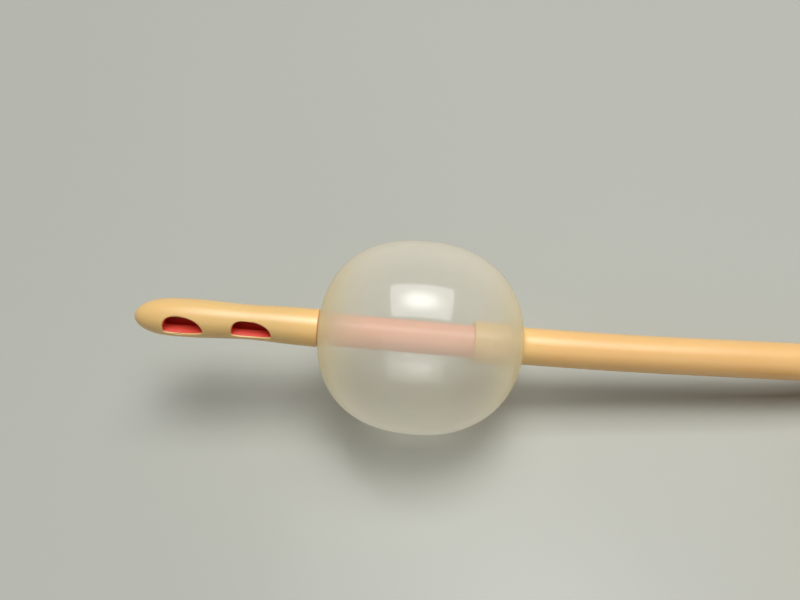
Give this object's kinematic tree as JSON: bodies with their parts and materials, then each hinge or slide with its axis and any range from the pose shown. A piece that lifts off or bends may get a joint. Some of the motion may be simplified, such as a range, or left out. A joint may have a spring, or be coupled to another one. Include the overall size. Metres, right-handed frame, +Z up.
{
  "type": "foley urinary catheter",
  "caption": "Coated latex bladder catheter with a closed tip, side drainage eyes, an inflated retention balloon, a Y funnel and an inflation arm with a spring check valve.",
  "frame": {"origin": "centre of the bounding box's base, on the table the catheter lies on", "axes": "+X from the closed tip towards the loop and the funnel, +Z up from the table"},
  "size_m": [0.1802, 0.0672, 0.0275],
  "materials": {
    "core_latex": "red latex, satin, under the coat",
    "coat_latex": "amber dipped coat, smooth and slightly glossy",
    "balloon_latex": "thin milky translucent latex film, stretched and glossy",
    "funnel_latex": "amber latex, satin",
    "white_plastic": "white moulded plastic",
    "orange_plastic": "orange moulded plastic",
    "poppet_plastic": "blue-grey moulded plastic",
    "seal_rubber": "black rubber",
    "spring_steel": "stainless spring wire"
  },
  "bodies": {
    "catheter": {"inner_tube": "core_latex", "tip_coat": "coat_latex", "balloon": "balloon_latex", "shaft_coat": "coat_latex", "funnel": "funnel_latex", "size_collar": "orange_plastic", "valve_housing": "white_plastic", "spring_retainer": "white_plastic", "valve_spring": "spring_steel"},
    "poppet": {"valve_poppet": "poppet_plastic", "poppet_seal": "seal_rubber"}
  },
  "joints": [
    {"name": "valve_press", "type": "slide", "parent": "catheter", "child": "poppet", "axis": [-0.759, 0.6511, 0.0007], "range_m": [0, 0.0013], "stiffness_N_per_m": 200, "springref_m": -0.001, "deforming": ["valve_spring"]}
  ]
}
